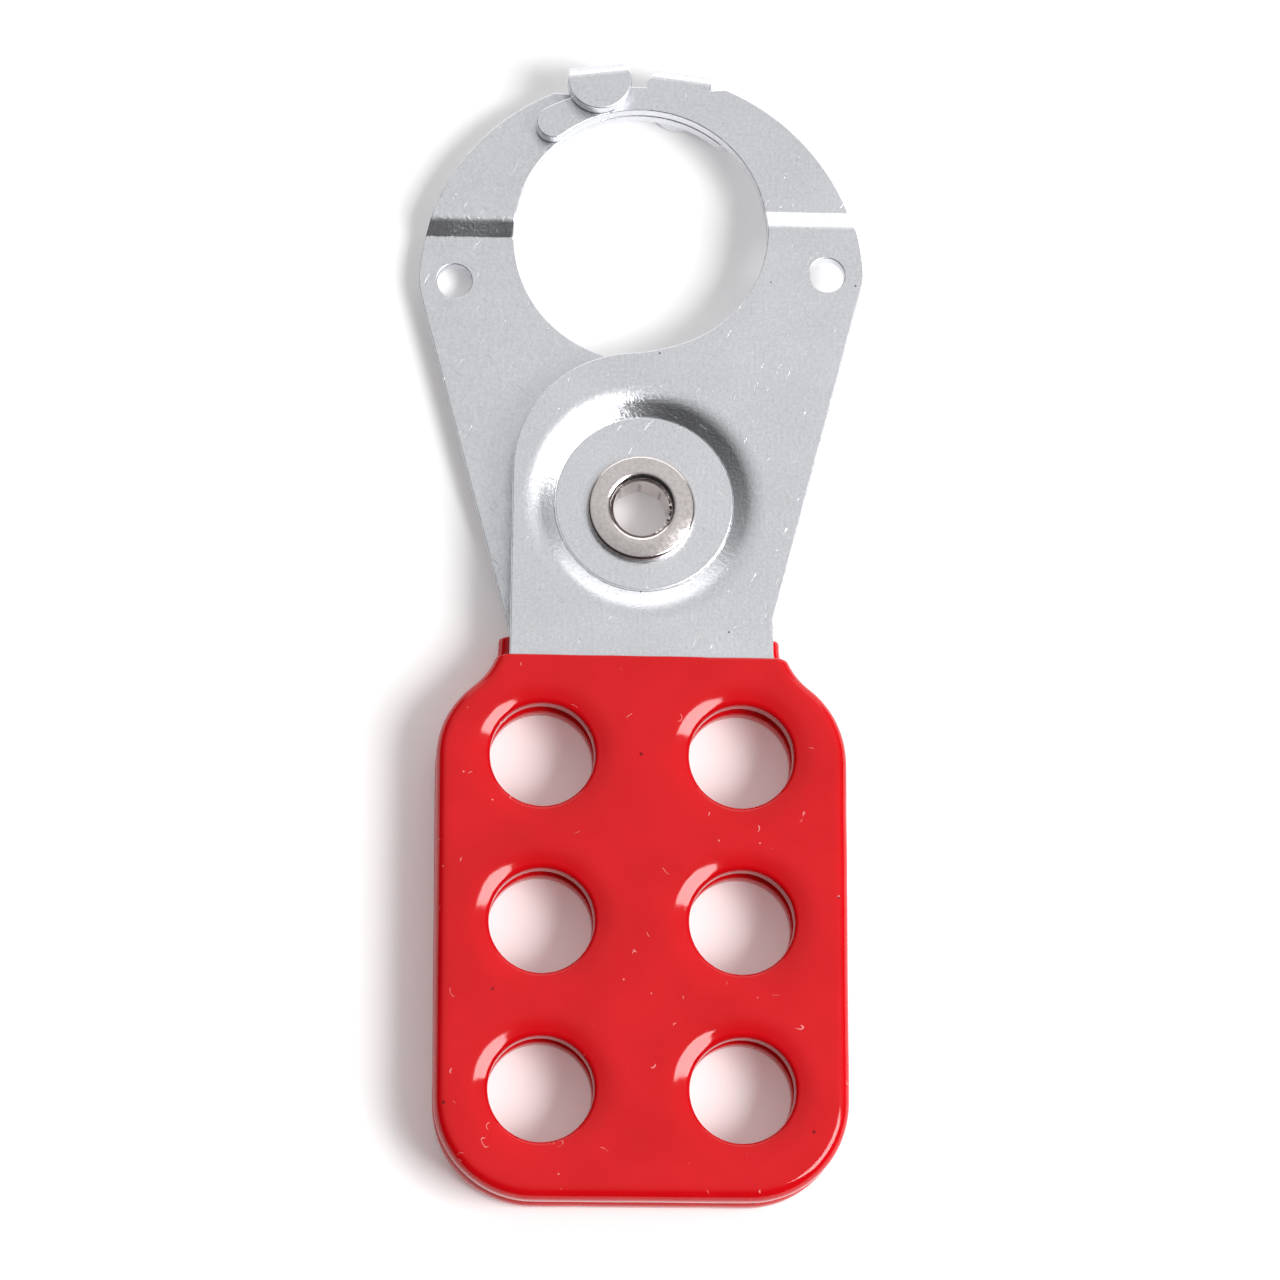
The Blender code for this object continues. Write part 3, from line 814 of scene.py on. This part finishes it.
def zinc_plate():
    """Zinc-plated cold-rolled steel, blanked and pressed: cool grey with a fine mottled grain."""
    made, tree, shader, place = material("zinc_plated_steel")
    shader.inputs["Metallic"].default_value = 1.0

    # the rolled sheet's own grain, drawn out along the arm
    drawn_out = add(tree, "Mapping", {"Vector": place, "Scale": (1, 0.3, 1)})
    streaks = add(tree, "TexNoise", {"Vector": drawn_out.outputs[0], "Scale": per_mm(0.30),
                                     "Detail": 2, "Roughness": 0.5})
    # zinc crystals, each tilted a little differently
    mottle = add(tree, "TexNoise", {"Vector": place, "Scale": per_mm(0.30), "Detail": 4,
                                    "Roughness": 0.7})
    clouds = add(tree, "TexNoise", {"Vector": place, "Scale": per_mm(9), "Detail": 2})
    both = add(tree, "Math", {0: streaks.outputs[0], 1: 0.35, 2: mottle.outputs[0]},
               operation="MULTIPLY_ADD")
    tone = add(tree, "MapRange", {"Value": both.outputs[0], "From Min": 0.45, "From Max": 0.90})
    grain = add(tree, "Mix", {0: tone.outputs[0], 6: linear("DADCE1"), 7: linear("F0F1F5")},
                data_type="RGBA")

    # dark specks where the plating missed
    specks = add(tree, "TexVoronoi", {"Vector": place, "Scale": per_mm(2.2), "Randomness": 1})
    dot = add(tree, "MapRange", {"Value": specks.outputs["Distance"], "From Min": 0.03,
                                 "From Max": 0.055, "To Min": 1, "To Max": 0})
    few = add(tree, "SeparateColor", {0: specks.outputs["Color"]})
    kept = add(tree, "Math", {0: few.outputs[0], 1: 0.70}, operation="GREATER_THAN")
    speck = add(tree, "Math", {0: dot.outputs[0], 1: kept.outputs[0]}, operation="MULTIPLY")
    spotted = add(tree, "Mix", {0: speck.outputs[0], 6: grain.outputs[2], 7: linear("55504C")},
                  data_type="RGBA")

    # short handling scratches in two directions, bright where they cut the plating
    cuts = []
    for turn, seed in ((0.9, 3.0), (-0.5, 8.0)):
        laid = add(tree, "Mapping", {"Vector": place, "Location": (seed, 0, 0),
                                     "Rotation": (0, 0, turn), "Scale": (1, 18, 1)},
                   vector_type="TEXTURE")
        lines = add(tree, "TexNoise", {"Vector": laid.outputs[0], "Scale": per_mm(0.16),
                                       "Detail": 1, "Roughness": 0.3})
        cuts.append(add(tree, "MapRange", {"Value": lines.outputs[0], "From Min": 0.765,
                                           "From Max": 0.80}))
    cut = add(tree, "Math", {0: cuts[0].outputs[0], 1: cuts[1].outputs[0]}, operation="MAXIMUM")
    scored = add(tree, "Mix", {0: cut.outputs[0], 6: spotted.outputs[2], 7: linear("FFFFFF")},
                 data_type="RGBA")
    tree.links.new(scored.outputs[2], shader.inputs["Base Color"])

    rough = add(tree, "MapRange", {"Value": clouds.outputs[0], "From Min": 0.3, "From Max": 0.7,
                                   "To Min": 0.24, "To Max": 0.31})
    tree.links.new(rough.outputs[0], shader.inputs["Roughness"])

    height = add(tree, "Math", {0: cut.outputs[0], 1: -0.8, 2: both.outputs[0]},
                 operation="MULTIPLY_ADD")
    bump = add(tree, "Bump", {"Height": height.outputs[0], "Strength": 1.0,
                              "Distance": 0.00003})
    tree.links.new(bump.outputs[0], shader.inputs["Normal"])
    return made


def dipped_vinyl():
    """Plastisol, the vinyl that a handle is dipped in and cured: soft, glossy and full red."""
    made, tree, shader, place = material("dipped_vinyl")
    shader.inputs["Specular IOR Level"].default_value = 0.36

    # the pigment is a touch uneven
    clouds = add(tree, "TexNoise", {"Vector": place, "Scale": per_mm(6), "Detail": 3})
    tint = add(tree, "MapRange", {"Value": clouds.outputs[0], "From Min": 0.3, "From Max": 0.7})
    red = add(tree, "Mix", {0: tint.outputs[0], 6: linear("C80810"), 7: linear("D20C16")},
              data_type="RGBA")

    # bubbles and pits that the dip left, mostly low on the handle where it dripped off; the bump
    # recesses them, and their darker red is painted shade
    specks = add(tree, "TexVoronoi", {"Vector": place, "Scale": per_mm(2.4), "Randomness": 1})
    dot = add(tree, "MapRange", {"Value": specks.outputs["Distance"], "From Min": 0.05,
                                 "From Max": 0.09, "To Min": 1, "To Max": 0})
    few = add(tree, "SeparateColor", {0: specks.outputs["Color"]})
    where = add(tree, "SeparateXYZ", {0: place})
    low = add(tree, "MapRange", {"Value": where.outputs[1], "From Min": -0.055,
                                 "From Max": -0.047, "To Min": 0.55, "To Max": 0.93})
    kept = add(tree, "Math", {0: few.outputs[0], 1: low.outputs[0]}, operation="GREATER_THAN")
    pit_and_painted_shade = add(tree, "Math", {0: dot.outputs[0], 1: kept.outputs[0]}, operation="MULTIPLY")
    # painted shade: the pits are painted a darker red for the shade inside them, on top of their
    # real recess
    painted_pit_shade = add(tree, "Mix", {0: pit_and_painted_shade.outputs[0], 6: red.outputs[2], 7: linear("7A0408")},
                 data_type="RGBA")

    # pale dust
    dust = add(tree, "TexVoronoi", {"Vector": place, "Scale": per_mm(3.1), "Randomness": 1})
    grain = add(tree, "MapRange", {"Value": dust.outputs["Distance"], "From Min": 0.02,
                                   "From Max": 0.035, "To Min": 0.6, "To Max": 0})
    dusted = add(tree, "Mix", {0: grain.outputs[0], 6: painted_pit_shade.outputs[2], 7: linear("F2B8B4")},
                 data_type="RGBA")

    # fine pale hairs: short stretches of a noise's level lines
    paths = add(tree, "TexNoise", {"Vector": place, "Scale": per_mm(3.2), "Detail": 1})
    off = add(tree, "Math", {0: paths.outputs[0], 1: 0.5}, operation="SUBTRACT")
    near = add(tree, "Math", {0: off.outputs[0]}, operation="ABSOLUTE")
    line = add(tree, "MapRange", {"Value": near.outputs[0], "From Min": 0.002,
                                  "From Max": 0.005, "To Min": 0.7, "To Max": 0})
    patches = add(tree, "TexNoise", {"Vector": place, "Scale": per_mm(1.6), "Detail": 1})
    short = add(tree, "MapRange", {"Value": patches.outputs[0], "From Min": 0.66,
                                   "From Max": 0.70})
    hair = add(tree, "Math", {0: line.outputs[0], 1: short.outputs[0]}, operation="MULTIPLY")
    haired = add(tree, "Mix", {0: hair.outputs[0], 6: dusted.outputs[2], 7: linear("F0A8A4")},
                 data_type="RGBA")
    tree.links.new(haired.outputs[2], shader.inputs["Base Color"])

    rough = add(tree, "MapRange", {"Value": clouds.outputs[0], "From Min": 0.3, "From Max": 0.7,
                                   "To Min": 0.07, "To Max": 0.12})
    scuffed = add(tree, "Math", {0: hair.outputs[0], 1: 0.3, 2: rough.outputs[0]},
                  operation="MULTIPLY_ADD")
    tree.links.new(scuffed.outputs[0], shader.inputs["Roughness"])

    height = add(tree, "Math", {0: pit_and_painted_shade.outputs[0], 1: -1.0, 2: hair.outputs[0]},
                 operation="MULTIPLY_ADD")
    bump = add(tree, "Bump", {"Height": height.outputs[0], "Strength": 0.4,
                              "Distance": 0.00004})
    tree.links.new(bump.outputs[0], shader.inputs["Normal"])
    return made


def nickel():
    """Nickel-plated brass, drawn and rolled over: warmer and shinier than the zinc."""
    made, tree, shader, place = material("nickel_plate")
    shader.inputs["Metallic"].default_value = 1.0
    drawn = add(tree, "TexNoise", {"Vector": place, "Scale": per_mm(0.35), "Detail": 3,
                                   "Roughness": 0.6})
    tone = add(tree, "MapRange", {"Value": drawn.outputs[0], "From Min": 0.3, "From Max": 0.7})
    warm = add(tree, "Mix", {0: tone.outputs[0], 6: linear("D9D1CF"), 7: linear("ECE6E3")},
               data_type="RGBA")
    tree.links.new(warm.outputs[2], shader.inputs["Base Color"])
    rough = add(tree, "MapRange", {"Value": drawn.outputs[0], "From Min": 0.3, "From Max": 0.7,
                                   "To Min": 0.12, "To Max": 0.20})
    tree.links.new(rough.outputs[0], shader.inputs["Roughness"])
    bump = add(tree, "Bump", {"Height": drawn.outputs[0], "Strength": 0.3,
                              "Distance": 0.00002})
    tree.links.new(bump.outputs[0], shader.inputs["Normal"])
    return made


def coat_with(piece, finish, smooth_angle=None):
    """Gives a piece its one material and its shading."""
    piece.data.materials.clear()
    piece.data.materials.append(finish)
    if smooth_angle is not None:
        activate(piece)
        bpy.ops.object.shade_smooth_by_angle(angle=math.radians(smooth_angle))


# ---------------------------------------------------------------- assembly


def place_in(piece, body, node, turned_over=False):
    """Puts a finished piece on its arm and lets it stand for its CAD node."""
    over = Matrix.Rotation(math.pi, 4, "Y") if turned_over else Matrix.Identity(4)
    piece.data.transform(Matrix.Translation(PIVOT) @ over)
    piece.data.update()
    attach(piece, body)
    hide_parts(node)


def floor():
    """A plain pale floor."""
    fresh()
    bpy.ops.mesh.primitive_plane_add(size=6)
    plane = bpy.context.object
    plane.name = "floor"
    made, _, shader, _ = material("pale_floor")
    shader.inputs["Base Color"].default_value = linear("F4F4F4")
    shader.inputs["Roughness"].default_value = 0.9
    shader.inputs["Specular IOR Level"].default_value = 0
    shader.inputs["Emission Color"].default_value = linear("FFFAFB")
    shader.inputs["Emission Strength"].default_value = 0.16
    plane.data.materials.append(made)


def softbox(name, target, place, width, height, power):
    """A plain soft light of one size, pointed at the hasp."""
    fresh()
    bpy.ops.object.light_add(type="AREA", location=place)
    lamp = bpy.context.object
    lamp.name = name
    lamp.data.shape = "RECTANGLE"
    lamp.data.size = width
    lamp.data.size_y = height
    lamp.data.energy = power
    lamp.rotation_euler = (Vector(target) - Vector(place)).to_track_quat("-Z", "Y").to_euler()
    return lamp


def surroundings():
    """A sky that darkens towards the handle, and a plain pale one for what the camera sees."""
    world = bpy.data.worlds.new("studio")
    world.use_nodes = True
    bpy.context.scene.world = world
    tree = world.node_tree
    background = tree.nodes["Background"]
    way = add(tree, "TexCoord").outputs["Generated"]
    lean = add(tree, "VectorMath", {0: way, 1: SKY_BRIGHTEST}, operation="DOT_PRODUCT")
    glow = add(tree, "MapRange", {"Value": lean.outputs["Value"],
                                  "From Min": SKY_SPREAD[0], "From Max": SKY_SPREAD[1],
                                  "To Min": SKY_STRENGTH[0], "To Max": SKY_STRENGTH[1]},
               interpolation_type="SMOOTHSTEP")
    sight = add(tree, "LightPath").outputs["Is Camera Ray"]
    seen = add(tree, "Mix", {0: sight, 2: glow.outputs[0], 3: SKY_SEEN})
    tree.links.new(seen.outputs[0], background.inputs["Strength"])
    background.inputs["Color"].default_value = (1, 1, 1, 1)


def set_camera():
    """The camera, a little off the plates' normal and held upright along them."""
    tilt = math.radians(CAMERA_TILT)
    side = math.radians(CAMERA_SIDE)
    back = Vector((-math.sin(side), -math.sin(tilt), math.cos(tilt))).normalized()
    across = Vector((0, 1, 0)).cross(back).normalized()
    fresh()
    bpy.ops.object.camera_add(location=Vector(CAMERA_AIM) + back * CAMERA_DISTANCE)
    camera = bpy.context.object
    camera.rotation_euler = Matrix((across, back.cross(across), back)).transposed().to_euler()
    camera.data.sensor_width = 36
    camera.data.lens = CAMERA_LENS
    camera.data.clip_start = 0.01
    bpy.context.scene.camera = camera
    bpy.context.scene.view_settings.view_transform = "Standard"


def studio():
    """Floor, lights, surroundings and camera."""
    floor()
    middle = Vector((0, 0, COAT_TOP))
    softbox("key_light", middle, *KEY_LIGHT)
    softbox("back_light", middle, *BACK_LIGHT)
    surroundings()
    set_camera()


def main():
    """Builds every piece and the studio round them."""
    zinc = zinc_plate()
    vinyl = dipped_vinyl()
    plating = nickel()

    front_plate = build_plate()
    coat_with(front_plate, zinc)
    back_plate = duplicate(front_plate, "back_plate_steel")
    place_in(front_plate, "front_arm", "front_plate")
    place_in(back_plate, "back_arm", "back_plate", turned_over=True)

    front_grip = build_grip("front_grip_vinyl", FRONT_DIP_Y, 3.7)
    back_grip = build_grip("back_grip_vinyl", BACK_DIP_Y, 11.3)
    coat_with(front_grip, vinyl, SOFT)
    coat_with(back_grip, vinyl, SOFT)
    place_in(front_grip, "front_arm", "front_grip")
    place_in(back_grip, "back_arm", "back_grip", turned_over=True)

    eyelet = build_eyelet()
    coat_with(eyelet, plating, SOFT)
    place_in(eyelet, "back_arm", "pivot_eyelet")
    studio()


main()
